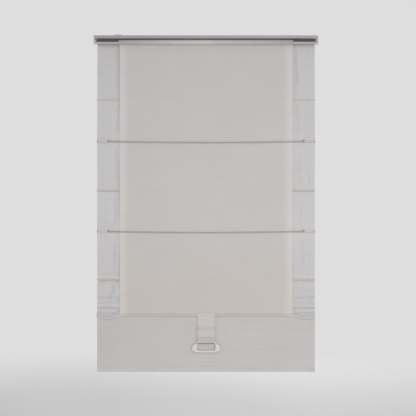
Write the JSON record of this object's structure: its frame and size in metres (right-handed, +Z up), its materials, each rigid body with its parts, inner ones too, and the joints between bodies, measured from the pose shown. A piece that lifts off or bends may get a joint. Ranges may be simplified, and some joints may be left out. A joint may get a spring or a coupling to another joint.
{
  "type": "roman blind",
  "caption": "Cordless roman blind: full-width cloth with cross rods in pockets, a narrower lift sheet on a spring roller under a headrail, and a flat bottom bar with a strap and pull handle.",
  "frame": {"origin": "in the mounting face, midway between the two ceiling screw holes", "axes": "+Z up and square to the mounting face, +X along the headrail, -Y towards the lift side, where the lift sheet and the pull handle are"},
  "size_m": [1.025, 0.046, 1.544],
  "materials": {
    "rail_paint": "cream-white powder coat, satin",
    "clip_steel": "pressed zinc-plated steel",
    "hook_tape_cloth": "white hook tape",
    "bracket_plastic": "off-white moulded plastic",
    "tube_aluminium": "mill-finished tube, satin",
    "plug_plastic": "dark grey moulded plastic",
    "spindle_steel": "ground bar",
    "spring_steel": "oiled spring wire",
    "lift_sheet_cloth": "smooth coated pale grey cloth",
    "main_cloth": "woven pale grey cloth",
    "panel_cloth": "woven pale grey cloth with slubs across",
    "rod_fibreglass": "greenish grey fibreglass",
    "tip_plastic": "white moulded caps",
    "sleeve_cloth": "cream woven tape",
    "bar_aluminium": "flat extruded bar",
    "weight_steel": "white painted flat bar",
    "strap_cloth": "doubled pale grey cloth",
    "handle_plastic": "ivory moulded plastic"
  },
  "bodies": {
    "root": {"headrail": "rail_paint", "mounting_clip_left": "clip_steel", "mounting_clip_right": "clip_steel", "hook_tape": "hook_tape_cloth", "end_bracket_left": "bracket_plastic", "end_bracket_right": "bracket_plastic", "spindle": "spindle_steel", "brake_spring": "spring_steel", "spring_anchor": "plug_plastic", "torsion_spring": "spring_steel", "idle_pin": "spindle_steel", "lift_sheet": "lift_sheet_cloth", "main_fabric": "main_cloth"},
    "roller": {"roller_tube": "tube_aluminium", "brake_plug": "plug_plastic", "spring_plug": "plug_plastic", "idle_plug": "plug_plastic"},
    "rod_a": {"loop_rod_a": "rod_fibreglass", "loop_tips_a": "tip_plastic"},
    "rod_b": {"guide_rod_b": "rod_fibreglass", "guide_tips_b": "tip_plastic", "guide_sleeves_b": "sleeve_cloth"},
    "rod_c": {"loop_rod_c": "rod_fibreglass", "loop_tips_c": "tip_plastic"},
    "rod_d": {"guide_rod_d": "rod_fibreglass", "guide_tips_d": "tip_plastic", "guide_sleeves_d": "sleeve_cloth"},
    "rod_e": {"loop_rod_e": "rod_fibreglass", "loop_tips_e": "tip_plastic"},
    "bottom": {"lift_bar": "bar_aluminium", "lift_tips": "tip_plastic", "bottom_panel": "panel_cloth", "weight_bar": "weight_steel", "strap": "strap_cloth"},
    "handle": {"pull_handle": "handle_plastic"}
  },
  "joints": [
    {"name": "loop_a_fold", "type": "slide", "parent": "root", "child": "rod_a", "axis": [0, 0.9936, 0.1129], "range_m": [0, 0.0443]},
    {"name": "lift", "type": "slide", "parent": "rod_a", "child": "rod_b", "axis": [0, -0.1287, 0.9917], "range_m": [0, 0.3418], "deforming": ["lift_sheet", "main_fabric"]},
    {"name": "loop_c_fold", "type": "slide", "parent": "rod_b", "child": "rod_c", "axis": [0, 0.988, 0.1544], "range_m": [0, 0.0324]},
    {"name": "guide_d_rise", "type": "slide", "parent": "rod_c", "child": "rod_d", "axis": [0, -0.0934, 0.9956], "range_m": [0, 0.3425]},
    {"name": "loop_e_fold", "type": "slide", "parent": "rod_d", "child": "rod_e", "axis": [0, 0.9981, 0.0624], "range_m": [0, 0.0161]},
    {"name": "bottom_rise", "type": "slide", "parent": "rod_e", "child": "bottom", "axis": [0, -0.0506, 0.9987], "range_m": [0, 0.3164]},
    {"name": "roller_turn", "type": "hinge", "parent": "root", "child": "roller", "pos_m": [0, 0, -0.032], "axis": [1, 0, 0], "range_deg": [0, 5293]},
    {"name": "handle_swing", "type": "hinge", "parent": "bottom", "child": "handle", "pos_m": [0, 0.0068, -1.407], "axis": [-1, 0, 0], "range_deg": [0, 90]}
  ],
  "couplings": [
    {"joint": "loop_a_fold", "follows": "lift", "ratio": 0.12954},
    {"joint": "loop_c_fold", "follows": "lift", "ratio": 0.094746},
    {"joint": "guide_d_rise", "follows": "lift", "ratio": 1.0019},
    {"joint": "loop_e_fold", "follows": "lift", "ratio": 0.046896},
    {"joint": "bottom_rise", "follows": "lift", "ratio": 0.92558},
    {"joint": "roller_turn", "follows": "lift", "rad_per_m": 270.26}
  ]
}
